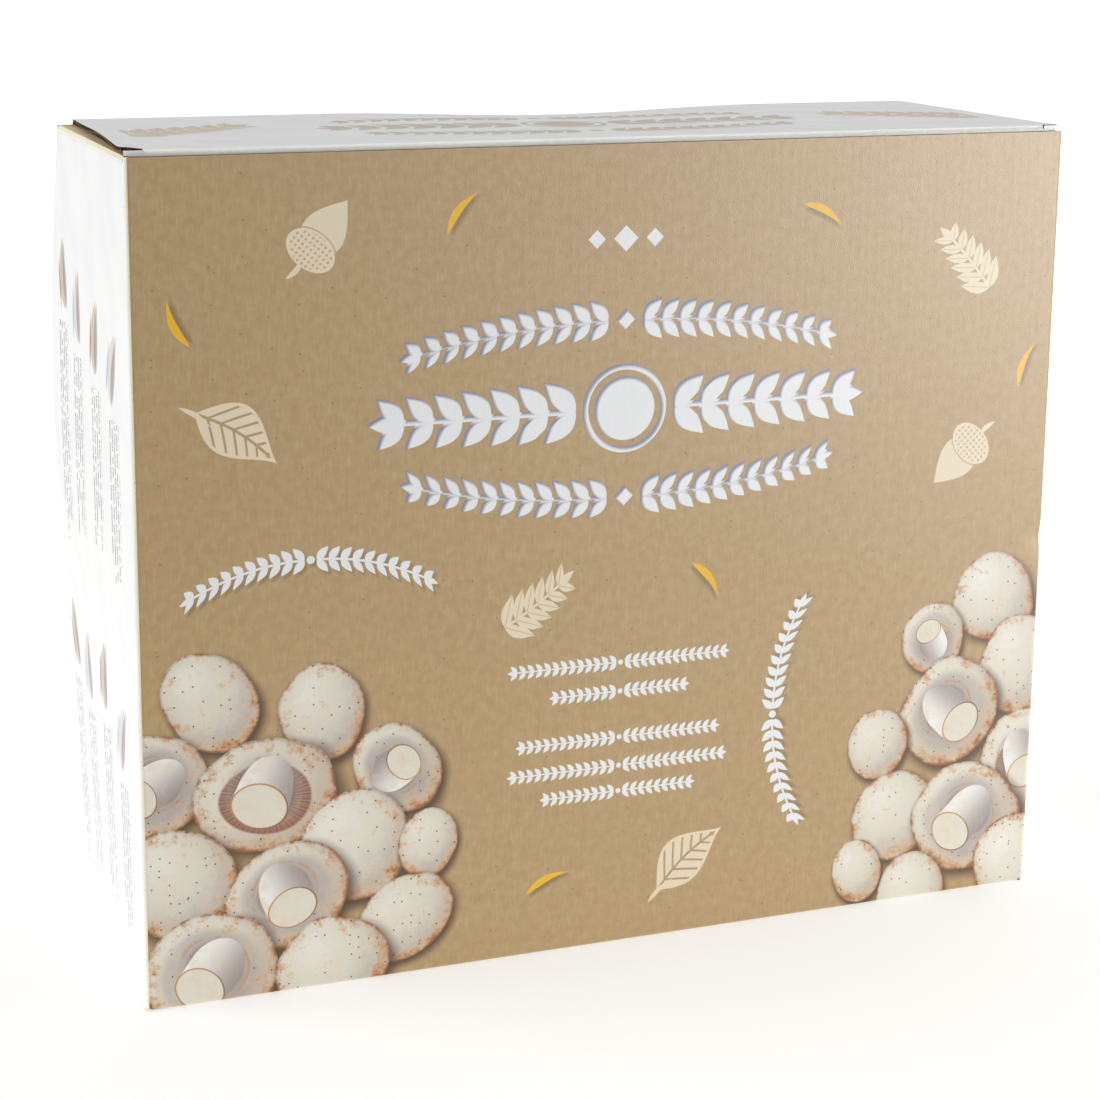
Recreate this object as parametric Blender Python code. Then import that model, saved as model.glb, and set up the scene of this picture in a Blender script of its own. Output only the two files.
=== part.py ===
"""Closed tuck-end carton of a mushroom growing kit, modelled in metres with +Z up.

The carton stands on its bottom panel with the printed front towards -Y. The origin is
the middle of its footprint on the surface that it stands on. Every panel between two
creases is a piece of its own, and the lid opens on the crease at the top of the back.
"""

import math

import bmesh
import bpy
from mathutils import Vector

MM = 0.001

# Driving dimensions
WIDTH = 320 * MM
DEPTH = 110 * MM
WALL_HEIGHT = 270 * MM
BOARD = 1.6 * MM
GAP = 0.3 * MM
FOLD_RADIUS = 1.3 * MM
FOLD_STEPS = 3

# Lid, tuck flap and the slits that lock them
LID_INSET_BACK = 3.2 * MM
LID_INSET_FRONT = 2.0 * MM
TUCK_LENGTH = 30 * MM
TUCK_INSET = 3.0 * MM
TUCK_CORNER = 13 * MM
SLIT_LENGTH = 6 * MM
SLIT_WIDTH = 0.5 * MM
HINGE_CLEARANCE = 0.15 * MM

# Dust flaps, bottom flaps and glue flap
DUST_LENGTH = 82 * MM
DUST_TAPER = 6 * MM
DUST_CORNER = 10 * MM
DUST_FRONT_CLEARANCE = 1.2 * MM
DUST_BACK_CLEARANCE = 2.0 * MM
BOTTOM_FLAP_LENGTH = 80 * MM
BOTTOM_FLAP_TAPER = 8 * MM
GLUE_FLAP_WIDTH = 22 * MM
GLUE_FLAP_TAPER = 9 * MM
GLUE_FLAP_END = 8 * MM

# How the filled board has given: the walls bow out, and the back of the top dips
FACE_BOW = 1.5 * MM
SIDE_BOW = 1.5 * MM
BACK_EDGE_BOW = 4.3 * MM
BOW_RISE = 1.7
DIP = 2.2 * MM
DIP_CENTRE = 15 * MM
DIP_REACH = 85 * MM
DIP_HEIGHT = 30 * MM

# Lattice that lets the panels follow the bow
STEPS_UP = 14
STEPS_WIDE = 16
STEPS_DEEP = 6

HALF_WIDTH = WIDTH / 2
HALF_DEPTH = DEPTH / 2
INSIDE_X = HALF_WIDTH - BOARD
INSIDE_Y = HALF_DEPTH - BOARD
LID_LOW = WALL_HEIGHT + GAP
LID_TOP = LID_LOW + BOARD
HINGE_Y = HALF_DEPTH + HINGE_CLEARANCE
HINGE_Z = WALL_HEIGHT + GAP / 2

KRAFT = (0.37, 0.25, 0.145)
WHITE = (0.80, 0.80, 0.78)
RAW_BOARD = (0.42, 0.31, 0.20)


def clear_scene():
    for obj in list(bpy.data.objects):
        bpy.data.objects.remove(obj, do_unlink=True)


def make_collection(name):
    collection = bpy.data.collections.new(name)
    bpy.context.scene.collection.children.link(collection)
    return collection


def make_material(name, colour, roughness):
    material = bpy.data.materials.new(name)
    material.use_nodes = True
    shader = material.node_tree.nodes["Principled BSDF"]
    shader.inputs["Base Color"].default_value = (*colour, 1)
    shader.inputs["Roughness"].default_value = roughness
    shader.inputs["Metallic"].default_value = 0
    return material


def settle(point):
    """Where a point of the square carton lies once its board has bowed and dipped."""
    x, y, z = point
    across = min(1, abs(x) / HALF_WIDTH)
    along = min(1, abs(y) / HALF_DEPTH)
    to_back = min(1, max(0, y / DEPTH + 0.5))
    up = min(1, max(0, z / WALL_HEIGHT))
    swell = math.sin(math.pi * up**BOW_RISE)
    belly = math.sin(math.pi * up)
    side = BACK_EDGE_BOW * to_back**2 * swell + SIDE_BOW * (1 - along**2) * belly
    face = FACE_BOW * (1 - across**2) * belly
    reach = min(1, abs(x - DIP_CENTRE) / DIP_REACH)
    near_top = max(0, 1 - max(0, WALL_HEIGHT - z) / DIP_HEIGHT)
    dip = DIP * math.cos(reach * math.pi / 2) ** 2 * to_back**2 * near_top
    return Vector((
        x + math.copysign(side * across**4, x),
        y + math.copysign(face * along**4, y),
        z - dip,
    ))


def slab(low, high):
    """A block of board between two opposite corners."""
    block = bmesh.new()
    bmesh.ops.create_cube(block, size=1)
    low, high = Vector(low), Vector(high)
    for vert in block.verts:
        vert.co = Vector(
            high[i] if vert.co[i] > 0 else low[i] for i in range(3)
        )
    return block


def round_edges(block, chosen, radius, steps):
    """Rounds each edge for which chosen(middle, direction) is true."""
    edges = []
    for edge in block.edges:
        middle = (edge.verts[0].co + edge.verts[1].co) / 2
        direction = (edge.verts[1].co - edge.verts[0].co).normalized()
        if chosen(middle, direction):
            edges.append(edge)
    bmesh.ops.bevel(
        block, geom=edges, offset=radius, segments=steps, profile=0.5, affect="EDGES"
    )


def cut_across(block, axis, places):
    """Adds an edge loop at each place along the axis."""
    normal = Vector(1 if i == axis else 0 for i in range(3))
    for place in places:
        everything = block.verts[:] + block.edges[:] + block.faces[:]
        bmesh.ops.bisect_plane(
            block, geom=everything, plane_co=normal * place, plane_no=normal
        )


def between(low, high, steps):
    """The places that divide a length into equal steps, without its ends."""
    return [low + (high - low) * i / steps for i in range(1, steps)]


def finish(block, name, material, collection):
    """Settles the block's points and makes it a named object."""
    for vert in block.verts:
        vert.co = settle(vert.co)
    bmesh.ops.recalc_face_normals(block, faces=block.faces[:])
    mesh = bpy.data.meshes.new(name)
    block.to_mesh(mesh)
    block.free()
    mesh.materials.append(material)
    obj = bpy.data.objects.new(name, mesh)
    collection.objects.link(obj)
    return obj


def along_z(direction):
    return abs(direction.z) > 0.99


def make_face_wall(name, side, folded_ends, material, collection):
    """The front wall (side -1) or the back wall (side 1), rounded where it is creased."""
    outer, inner = side * HALF_DEPTH, side * INSIDE_Y
    wall = slab(
        (-HALF_WIDTH, min(outer, inner), 0),
        (HALF_WIDTH, max(outer, inner), WALL_HEIGHT),
    )
    round_edges(
        wall,
        lambda middle, direction: along_z(direction)
        and abs(middle.y - outer) < GAP
        and any(middle.x * end > 0 for end in folded_ends),
        FOLD_RADIUS,
        FOLD_STEPS,
    )
    cut_across(wall, 2, between(0, WALL_HEIGHT, STEPS_UP))
    cut_across(wall, 0, between(-HALF_WIDTH, HALF_WIDTH, STEPS_WIDE))
    return finish(wall, name, material, collection)


def make_side_wall(name, side, material, collection):
    """The left wall (side -1) or the right wall (side 1), between front and back."""
    outer, inner = side * HALF_WIDTH, side * INSIDE_X
    reach = INSIDE_Y - GAP
    top = WALL_HEIGHT - BOARD - GAP
    wall = slab((min(outer, inner), -reach, 0), (max(outer, inner), reach, top))
    cut_across(wall, 2, between(0, WALL_HEIGHT, STEPS_UP))
    cut_across(wall, 1, between(-reach, reach, STEPS_DEEP))
    return finish(wall, name, material, collection)


def make_glue_flap(material, collection):
    """The strip that joins the right wall to the inside of the back wall."""
    high_x = INSIDE_X - GAP
    low_x = high_x - GLUE_FLAP_WIDTH
    high_y = INSIDE_Y - GAP
    low_z, high_z = GLUE_FLAP_END, WALL_HEIGHT - GLUE_FLAP_END
    flap = slab((low_x, high_y - BOARD, low_z), (high_x, high_y, high_z))
    for vert in flap.verts:
        if vert.co.x < (low_x + high_x) / 2:
            vert.co.z += GLUE_FLAP_TAPER if vert.co.z < WALL_HEIGHT / 2 else -GLUE_FLAP_TAPER
    cut_across(flap, 2, between(0, WALL_HEIGHT, STEPS_UP))
    return finish(flap, "glue_flap", material, collection)


def make_dust_flap(name, side, material, collection):
    """A flap that folds in from a side wall's top, under the lid."""
    front = -INSIDE_Y + GAP + BOARD + DUST_FRONT_CLEARANCE
    back = INSIDE_Y - DUST_BACK_CLEARANCE
    low_x, high_x = sorted((side * HALF_WIDTH, side * (HALF_WIDTH - DUST_LENGTH)))
    flap = slab(
        (low_x, front, WALL_HEIGHT - BOARD),
        (high_x, back, WALL_HEIGHT),
    )
    for vert in flap.verts:
        if abs(vert.co.x) < HALF_WIDTH - DUST_LENGTH / 2:
            vert.co.y += DUST_TAPER if vert.co.y < 0 else -DUST_TAPER
    round_edges(
        flap,
        lambda middle, direction: along_z(direction)
        and abs(middle.x) < HALF_WIDTH - DUST_LENGTH / 2,
        DUST_CORNER,
        FOLD_STEPS + 1,
    )
    round_edges(
        flap,
        lambda middle, direction: abs(direction.y) > 0.9
        and abs(middle.x) > HALF_WIDTH - GAP
        and middle.z > WALL_HEIGHT - GAP,
        FOLD_RADIUS,
        FOLD_STEPS,
    )
    steps = between(-HALF_WIDTH, HALF_WIDTH, STEPS_WIDE)
    cut_across(flap, 0, [x for x in steps if low_x < x < high_x])
    return finish(flap, name, material, collection)


def make_bottom(panel_material, flap_material, collection):
    """The outer bottom panel, and the two side flaps that it is glued to."""
    reach_x, reach_y = INSIDE_X - GAP, INSIDE_Y - GAP
    panel = slab((-reach_x, -reach_y, 0), (reach_x, reach_y, BOARD))
    finish(panel, "bottom_panel", panel_material, collection)
    low_z = BOARD + GAP
    for name, side in (("bottom_flap_left", -1), ("bottom_flap_right", 1)):
        ends = sorted((side * reach_x, side * (reach_x - BOTTOM_FLAP_LENGTH)))
        flap = slab((ends[0], -reach_y, low_z), (ends[1], reach_y, low_z + BOARD))
        for vert in flap.verts:
            if abs(vert.co.x) < reach_x - BOTTOM_FLAP_LENGTH / 2:
                vert.co.y -= math.copysign(BOTTOM_FLAP_TAPER, vert.co.y)
        finish(flap, name, flap_material, collection)


def make_lid(material, collection, cutters):
    """The lid panel, with a slit cut into each end of its front fold."""
    front, back = -INSIDE_Y + GAP, HALF_DEPTH
    lid = slab((-HALF_WIDTH, front, LID_LOW), (HALF_WIDTH, back, LID_TOP))
    for vert in lid.verts:
        inset = LID_INSET_FRONT if vert.co.y < 0 else LID_INSET_BACK
        vert.co.x -= math.copysign(inset, vert.co.x)
    round_edges(
        lid,
        lambda middle, direction: abs(direction.x) > 0.9 and middle.z > LID_TOP - GAP,
        FOLD_RADIUS,
        FOLD_STEPS,
    )
    cut_across(lid, 0, between(-HALF_WIDTH, HALF_WIDTH, STEPS_WIDE))
    cut_across(lid, 1, between(front, back, STEPS_DEEP))
    obj = finish(lid, "lid_panel", material, collection)
    for name, side in (("slit_left", -1), ("slit_right", 1)):
        ends = sorted((
            side * (HALF_WIDTH - TUCK_INSET - SLIT_LENGTH),
            side * (HALF_WIDTH + BOARD),
        ))
        cutter = slab(
            (ends[0], front - BOARD, LID_LOW - BOARD),
            (ends[1], front + BOARD + SLIT_WIDTH, LID_TOP + BOARD),
        )
        slit = finish(cutter, name, material, cutters)
        slit.hide_render = True
        slit.display_type = "WIRE"
        cut = obj.modifiers.new(name, "BOOLEAN")
        cut.operation = "DIFFERENCE"
        cut.solver = "EXACT"
        cut.object = slit
    return obj


def make_tuck_flap(material, collection):
    """The flap behind the front wall, curved on the circle that it swings along."""
    outer = HINGE_Y + INSIDE_Y - GAP
    inner = outer - BOARD
    top = LID_LOW - GAP
    reach = HALF_WIDTH - TUCK_INSET
    flap = slab((-reach, -outer, top - TUCK_LENGTH), (reach, -inner, top))
    round_edges(
        flap,
        lambda middle, direction: abs(direction.y) > 0.9 and middle.z < top - BOARD,
        TUCK_CORNER,
        FOLD_STEPS + 2,
    )
    slit_end = reach - SLIT_LENGTH + GAP
    cut_across(flap, 0, (-slit_end, slit_end))
    cut_across(flap, 2, between(top - TUCK_LENGTH, top, STEPS_DEEP))
    shoulders = [
        face
        for face in flap.faces
        if face.normal.z > 0.9 and abs(face.calc_center_median().x) > slit_end
    ]
    raised = bmesh.ops.extrude_face_region(flap, geom=shoulders)["geom"]
    bmesh.ops.delete(flap, geom=shoulders, context="FACES")
    for vert in raised:
        if isinstance(vert, bmesh.types.BMVert):
            vert.co.z = LID_TOP - GAP
    for vert in flap.verts:
        drop = max(0, top - vert.co.z)
        radius = -vert.co.y
        angle = drop / outer
        rise = max(0, vert.co.z - top)
        vert.co.y = HINGE_Y - radius * math.cos(angle)
        vert.co.z = top - radius * math.sin(angle) + rise
    return finish(flap, "tuck_flap", material, collection)


def main():
    clear_scene()
    carton = make_collection("mushroom_kit_carton")
    cutters = make_collection("cutters")
    kraft = make_material("kraft print", KRAFT, 0.75)
    white = make_material("white print", WHITE, 0.5)
    raw = make_material("raw board", RAW_BOARD, 0.85)
    make_face_wall("front_wall", -1, (-1, 1), kraft, carton)
    make_face_wall("back_wall", 1, (-1,), white, carton)
    make_side_wall("left_wall", -1, white, carton)
    make_side_wall("right_wall", 1, white, carton)
    make_glue_flap(raw, carton)
    make_bottom(white, raw, carton)
    make_dust_flap("dust_flap_left", -1, raw, carton)
    make_dust_flap("dust_flap_right", 1, raw, carton)
    make_lid(white, carton, cutters)
    make_tuck_flap(white, carton)


main()
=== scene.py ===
import math
from functools import partialmethod

import bmesh
import bpy
from mathutils import Matrix, Vector


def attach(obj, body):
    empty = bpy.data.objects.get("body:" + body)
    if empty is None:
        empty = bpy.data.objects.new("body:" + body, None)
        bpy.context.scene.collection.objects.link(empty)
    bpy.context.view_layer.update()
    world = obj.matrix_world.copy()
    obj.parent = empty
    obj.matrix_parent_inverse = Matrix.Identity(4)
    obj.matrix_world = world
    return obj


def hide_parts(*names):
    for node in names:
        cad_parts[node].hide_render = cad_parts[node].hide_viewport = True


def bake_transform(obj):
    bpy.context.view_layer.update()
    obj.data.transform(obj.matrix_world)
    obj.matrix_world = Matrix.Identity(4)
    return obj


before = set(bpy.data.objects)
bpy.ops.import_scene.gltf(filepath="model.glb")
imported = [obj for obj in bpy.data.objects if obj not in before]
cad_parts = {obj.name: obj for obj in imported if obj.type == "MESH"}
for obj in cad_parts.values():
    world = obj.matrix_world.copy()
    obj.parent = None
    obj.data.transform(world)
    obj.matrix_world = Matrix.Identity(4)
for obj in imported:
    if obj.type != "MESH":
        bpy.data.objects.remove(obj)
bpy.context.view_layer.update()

# Looks of the closed, printed carton of a mushroom growing kit.
# Each piece is modelled in millimetres as the outer side of its board, with the front
# towards -Y and the origin under the middle of the carton. It is then thickened inwards,
# bowed as the CAD walls are, and scaled to metres.
MM = 0.001
TINY = 0.02

# Carton, as in the CAD model
WIDTH = 320
DEPTH = 110
WALL_HEIGHT = 270
BOARD = 1.6
GAP = 0.3
FOLD = 1.65
FOLD_STEPS = 4
HALF_WIDTH = WIDTH / 2
HALF_DEPTH = DEPTH / 2
INSIDE_X = HALF_WIDTH - BOARD
INSIDE_Y = HALF_DEPTH - BOARD
SIDE_TOP = WALL_HEIGHT - BOARD - GAP
LID_LOW = WALL_HEIGHT + GAP
LID_TOP = LID_LOW + BOARD
HINGE_Y = HALF_DEPTH + GAP / 2
HINGE_Z = WALL_HEIGHT + GAP / 2
CELL = 5
CLEARANCE = 0.05
BOTTOM_CORNER = 4
CORNER_CUTS = 6

# Dust flaps
DUST_FRONT = -INSIDE_Y + GAP + BOARD + 1.2
DUST_BACK = INSIDE_Y - 2.0
DUST_END = HALF_WIDTH - 82
DUST_TAPER = 6
DUST_CORNER = 10
DUST_CREASE = 1.0

# Lid and tuck flap
LID_FRONT = -INSIDE_Y + GAP
LID_REACH = HALF_WIDTH - 0.4
LID_INSET_BACK = {-1: 5.4, 1: 3.2}
TUCK_REACH = INSIDE_X - 0.4
TUCK_LENGTH = 30
TUCK_STEPS = 7
TUCK_CORNER = 13
SLIT_STEPS = 3
SLIT_STEP = 2
SLIT_START = LID_REACH - SLIT_STEP * SLIT_STEPS
SLIT_WIDTH = {-1: 0.9, 1: 0.05}
SHOULDER_TOP = LID_TOP - CLEARANCE
CREASE_BEND = 0.1
CURL = {-1: 0.8, 1: 0.05}
CURL_CORE = 1
CURL_REACH = 9
LIFT = 0.8
LIFT_Y = -5
LIFT_REACH = 52

# Bow of the filled board and dip of the top, as in the CAD model
FACE_BOW = 1.5
SIDE_BOW = 1.5
BACK_EDGE_BOW = 4.3
BOW_RISE = 1.7
DIP = 2.2
DIP_CENTRE = 15
DIP_REACH = 85
DIP_HEIGHT = 30
LATTICE_POINTS = (33, 9, 28)

# Small damage seen in the photograph
DENT_PLACE = Vector((HALF_WIDTH, -HALF_DEPTH, 128))
DENT_MOVE = Vector((-0.25, 0.5, 0.1))
DENT_REACH = 3
DENT_CUTS = (126.7, 128.2, 129.1)
CRUSH_PLACE = Vector((-HALF_WIDTH + 3, -HALF_DEPTH, 0))
CRUSH_MOVE = Vector((0, 0.5, 0.9))
CRUSH_REACH = 9
CRUSH_CUTS = (FOLD, 3.2)
DAMAGE_CORE = FOLD + 0.2

# Each wall seen from outside: its normal, its right and its up
WALLS = {
    "front": (Vector((0, -1, 0)), Vector((1, 0, 0)), Vector((0, 0, 1))),
    "back": (Vector((0, 1, 0)), Vector((-1, 0, 0)), Vector((0, 0, 1))),
    "left": (Vector((-1, 0, 0)), Vector((0, -1, 0)), Vector((0, 0, 1))),
    "right": (Vector((1, 0, 0)), Vector((0, 1, 0)), Vector((0, 0, 1))),
    "top": (Vector((0, 0, 1)), Vector((1, 0, 0)), Vector((0, 1, 0))),
}

# Faces that a print reaches and that lie flat downwards, by a part of their normal
FACING = 0.2
FACING_DOWN = -0.9
SMOOTH_ANGLE = math.radians(40)

# Board and print. WORN is how wide the worn strips along the front's folds are.
FLUTE_PITCH = 3.2
INK_EDGE = 0.12
RULE_PITCH = 2.9
GARLAND_UP = 27.5
WORN = 0.5


def tint(red, green, blue):
    """A colour given in 8-bit sRGB, as the linear colour that shaders use."""
    linear = []
    for part in (red, green, blue):
        share = part / 255
        linear.append(share / 12.92 if share <= 0.04045 else ((share + 0.055) / 1.055) ** 2.4)
    return (*linear, 1)


# Inks and boards
KRAFT_DARK = tint(176, 147, 102)
KRAFT_LIGHT = tint(188, 160, 116)
KRAFT_FIBRE = tint(203, 178, 138)
KRAFT_SPECK = tint(104, 82, 56)
BOARD_BROWN = tint(193, 174, 143)
BOARD_PALE = tint(202, 185, 156)
# Cut edge paper: the board's own brown, darkened as painted shade
EDGE_BROWN_SHADED = tint(98, 72, 46)
EDGE_PALE_SHADED = tint(134, 105, 72)
PAPER_WHITE = tint(240, 241, 240)
PAPER_COOL = tint(232, 232, 233)
PAPER_CREAM = tint(248, 238, 205)
# Painted highlight on the lid's front fold
PAPER_HIGHLIGHT = tint(254, 253, 243)
# Painted shade in the hollows between the flutes of a cut edge
FLUTE_HOLLOW_SHADE = tint(38, 24, 14)
INK_WHITE = tint(236, 238, 240)
INK_CREAM = tint(231, 216, 188)
INK_BROWN = tint(164, 118, 72)
INK_PURPLE = tint(120, 96, 120)
INK_BLUE = tint(140, 186, 236)
INK_YELLOW = tint(240, 186, 10)
INK_SHADOW = tint(136, 138, 160)
INK_GREY = tint(128, 124, 132)
INK_PALE = tint(216, 205, 188)
INK_TAN = tint(194, 179, 154)
CAP_WHITE = tint(225, 220, 204)
CAP_BRIGHT = tint(240, 239, 233)
CAP_SHADE = tint(166, 154, 150)
CAP_CREAM = tint(228, 204, 170)
CAP_BROWN = tint(194, 138, 84)
CAP_RIM = tint(150, 92, 50)
CAP_DARK = tint(58, 44, 34)
GAP_SHADE = tint(78, 58, 40)
GILL_LIGHT = tint(176, 142, 124)
GILL_DARK = tint(112, 78, 64)


# Node writing

class Wire:
    """A value on its way through a node tree, so that a pattern reads as arithmetic."""

    def __init__(self, socket):
        self.socket = socket
        self.tree = socket.id_data

    def math(self, operation, *others):
        node = self.tree.nodes.new("ShaderNodeMath")
        node.operation = operation
        for target, value in zip(node.inputs, (self, *others)):
            plug(value, target)
        return Wire(node.outputs[0])

    __add__ = __radd__ = partialmethod(math, "ADD")
    __sub__ = partialmethod(math, "SUBTRACT")
    __mul__ = __rmul__ = partialmethod(math, "MULTIPLY")
    __truediv__ = partialmethod(math, "DIVIDE")
    __neg__ = partialmethod(math, "MULTIPLY", -1)
    __abs__ = partialmethod(math, "ABSOLUTE")
    sine = partialmethod(math, "SINE")
    cosine = partialmethod(math, "COSINE")
    greatest = partialmethod(math, "MAXIMUM")
    least = partialmethod(math, "MINIMUM")
    power = partialmethod(math, "POWER")

    def __rsub__(self, other):
        return -self + other

    def rise(self, low, high):
        """0 below low and 1 above high, with a smooth step between."""
        node = self.tree.nodes.new("ShaderNodeMapRange")
        node.interpolation_type = "SMOOTHSTEP"
        plug(self, node.inputs["Value"])
        plug(low, node.inputs["From Min"])
        plug(high, node.inputs["From Max"])
        return Wire(node.outputs[0])

    def parts(self):
        """The X, Y and Z of a vector."""
        node = self.tree.nodes.new("ShaderNodeSeparateXYZ")
        plug(self, node.inputs[0])
        return [Wire(socket) for socket in node.outputs]


def plug(value, target):
    """Links a wire to a socket, or sets the socket's own value."""
    if isinstance(value, Wire):
        value.tree.links.new(value.socket, target)
    else:
        target.default_value = value


def vector(x, y, z=0.0):
    """One vector made of three wires or numbers, the first of which is a wire."""
    node = x.tree.nodes.new("ShaderNodeCombineXYZ")
    for target, value in zip(node.inputs, (x, y, z)):
        plug(value, target)
    return Wire(node.outputs[0])


def distance(x, y):
    return (x * x + y * y).math("SQRT")


def unrolled(place):
    """X, Y and Z laid on a flat grid, so that a pattern runs on over each fold."""
    x, y, z = place.parts()
    return vector(x + y, z - y)


def moved(place, right, up, turn=0.0):
    """The grid with its origin moved to a point and turned there."""
    x, y, _ = place.parts()
    x, y = x - right, y - up
    sine, cosine = math.sin(turn), math.cos(turn)
    return vector(x * cosine + y * sine, y * cosine - x * sine)


def mirrored(place):
    """The grid with its left half like its right half."""
    x, y, _ = place.parts()
    return vector(abs(x), y)


def blend(mask, under, over):
    """The colour over where the mask is 1, on the colour under."""
    node = mask.tree.nodes.new("ShaderNodeMix")
    node.data_type = "RGBA"
    for socket, value in ((0, mask), (6, under), (7, over)):
        plug(value, node.inputs[socket])
    return Wire(node.outputs[2])


def noise(place, scale, detail=2.0, rough=0.5):
    """Smooth noise from 0 to 1 over a flat grid."""
    node = place.tree.nodes.new("ShaderNodeTexNoise")
    node.noise_dimensions = "2D"
    values = {"Vector": place, "Scale": scale, "Detail": detail, "Roughness": rough}
    for label, value in values.items():
        plug(value, node.inputs[label])
    return Wire(node.outputs[0])


def specks(place, scale, size, share):
    """1 on small dots, of which only a share of the cells has one."""
    node = place.tree.nodes.new("ShaderNodeTexVoronoi")
    node.voronoi_dimensions = "2D"
    plug(place, node.inputs["Vector"])
    node.inputs["Scale"].default_value = scale
    chance = Wire(node.outputs["Color"]).parts()[0].math("LESS_THAN", share)
    return (1 - Wire(node.outputs["Distance"]).rise(size * 0.6, size)) * chance


def add_socket(tree, label, side, value=0.0):
    """Adds a number, vector or colour socket to a group, by the value's kind."""
    kinds = {3: "NodeSocketVector", 4: "NodeSocketColor"}
    kind = kinds[len(value)] if isinstance(value, tuple) else "NodeSocketFloat"
    socket = tree.interface.new_socket(label, in_out=side, socket_type=kind)
    if side == "INPUT":
        socket.default_value = value


def node_group(*labels, **inputs):
    """Builds a node group from the function below it, which takes the place and the inputs.

    Each call then puts the group in the tree of the wire place, with its own values, and
    gives the wires of the labelled outputs."""

    def build(draw):
        tree = bpy.data.node_groups.new(draw.__name__.replace("_", " "), "ShaderNodeTree")
        add_socket(tree, "Vector", "INPUT", (0, 0, 0))
        for key, value in inputs.items():
            add_socket(tree, key, "INPUT", value)
        for label in labels:
            add_socket(tree, label, "OUTPUT", (0, 0, 0, 1) if label == "Color" else 0.0)
        given = tree.nodes.new("NodeGroupInput").outputs
        drawn = draw(Wire(given["Vector"]), **{key: Wire(given[key]) for key in inputs})
        result = tree.nodes.new("NodeGroupOutput")
        for wire, label in zip(drawn if len(labels) > 1 else (drawn,), labels):
            plug(wire, result.inputs[label])

        def put(place, **values):
            node = place.tree.nodes.new("ShaderNodeGroup")
            node.node_tree = tree
            plug(place, node.inputs["Vector"])
            for key, value in values.items():
                plug(value, node.inputs[key])
            wires = [Wire(node.outputs[label]) for label in labels]
            return wires if len(wires) > 1 else wires[0]

        return put

    return build


# Node groups for board

@node_group("Color", "Height")
def kraft_fibre(place):
    """Brown board with mottling, long fibres and a few dark specks."""
    place = unrolled(place)
    across, up, _ = place.parts()
    mottle = noise(place, 0.3, 2, 0.6).rise(0.05, 0.95)
    fibre = noise(vector(across * 1.7, up * 0.22), 0.8, 1).rise(0.5, 0.85)
    colour = blend(mottle, KRAFT_DARK, KRAFT_LIGHT)
    colour = blend(fibre * 0.28, colour, KRAFT_FIBRE)
    colour = blend(specks(place, 0.11, 0.045, 0.25) * 0.5, colour, KRAFT_SPECK)
    return colour, noise(place, 2.0, 0)


@node_group("Color", "Height")
def white_liner(place):
    """White lined board with a faint cool mottling."""
    place = unrolled(place)
    mottle = noise(place, 0.05, 2).rise(0.3, 0.7)
    return blend(mottle * 0.6, PAPER_WHITE, PAPER_COOL), noise(place, 1.7, 1)


@node_group("Color", "Height")
def bare_liner(place):
    """Bare brown liner of the board's inner side."""
    place = unrolled(place)
    across, up, _ = place.parts()
    mottle = noise(place, 0.11, 4, 0.6).rise(0.3, 0.7)
    streak = noise(vector(across * 0.3, up * 1.8), 0.7, 3).rise(0.45, 0.8)
    colour = blend(mottle, BOARD_BROWN, BOARD_PALE)
    colour = blend(streak * 0.2, colour, KRAFT_DARK)
    return blend(specks(place, 0.3, 0.1, 0.3) * 0.5, colour, KRAFT_SPECK), mottle + streak


def flute_wave(place, along_y):
    """The wave of the flutes along X, or along Y where along_y is 1."""
    x, y, _ = place.parts()
    return ((x + (y - x) * along_y) * (2 * math.pi / FLUTE_PITCH)).sine()


@node_group("Height", along_y=0.0)
def washboard(place, along_y):
    """The faint ribs that the flutes press through a liner."""
    return flute_wave(place, along_y)


@node_group("Color", "Height", across=0.0, along_y=0.0)
def flute_edge(place, across, along_y):
    """The cut edge of corrugated board: two liners and the wave between them. Their paper is the
    board's own brown darkened as painted shade, and the hollows between the flutes are painted
    shade.
    """
    wave = flute_wave(place, along_y) * 0.3 + 0.5
    paper = abs(across - 0.5).rise(0.36, 0.4).greatest(1 - abs(across - wave).rise(0.1, 0.15))
    ragged = noise(unrolled(place), 1.1, 2)
    return blend(paper, FLUTE_HOLLOW_SHADE, blend(ragged, EDGE_BROWN_SHADED, EDGE_PALE_SHADED)), paper


# Node groups for printed motifs. A depth is in millimetres, above 0 inside the motif.

@node_group("Depth", length=10.0, half_width=2.0, bend=0.0, point=1.0)
def leaf_blade(place, length, half_width, bend, point):
    """One pointed leaf that grows along +X from the origin."""
    x, y, _ = place.parts()
    share = x / length
    inside = share.greatest(0.0).least(1.0)
    half = half_width * (inside.power(0.8) * math.pi).sine().power(point)
    middle = bend * (inside * math.pi).sine()
    beyond = (abs(share - 0.5) - 0.5).greatest(0.0) * length
    return half - abs(y - middle) - beyond


@node_group(
    "Depth", "Vein", leaves=7.0, spacing=6.0, lean=0.8, length=10.0, half_width=2.0, taper=0.4,
    bend=0.0, stem=0.4,
)
def leaf_row(place, leaves, spacing, lean, length, half_width, taper, bend, stem):
    """A stem along +X with pairs of leaning leaves and one leaf at its tip."""
    x, y, _ = place.parts()
    reach = leaves * spacing
    y = y - bend * (x / reach).power(2.0)
    side = abs(y)
    sine, cosine = lean.sine(), lean.cosine()
    step = ((x - side * cosine / sine) / spacing).math("ROUND")
    step = step.greatest(0.0).least(leaves - 1)
    from_root = x - step * spacing
    along = from_root * cosine + side * sine
    off = side * cosine - from_root * sine
    size = 1 - taper * step / leaves
    sizes = {"length": length * size, "half_width": half_width * size}
    leaf = leaf_blade(vector(along, off), **sizes)
    tip = leaf_blade(vector(x - reach + spacing, y), **sizes)
    stalk = (stem - side).least(x).least(reach - x)
    vein = leaf.rise(0.0, 0.4) * (1 - abs(off).rise(0.1, 0.3))
    return leaf.greatest(tip).greatest(stalk), vein


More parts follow.
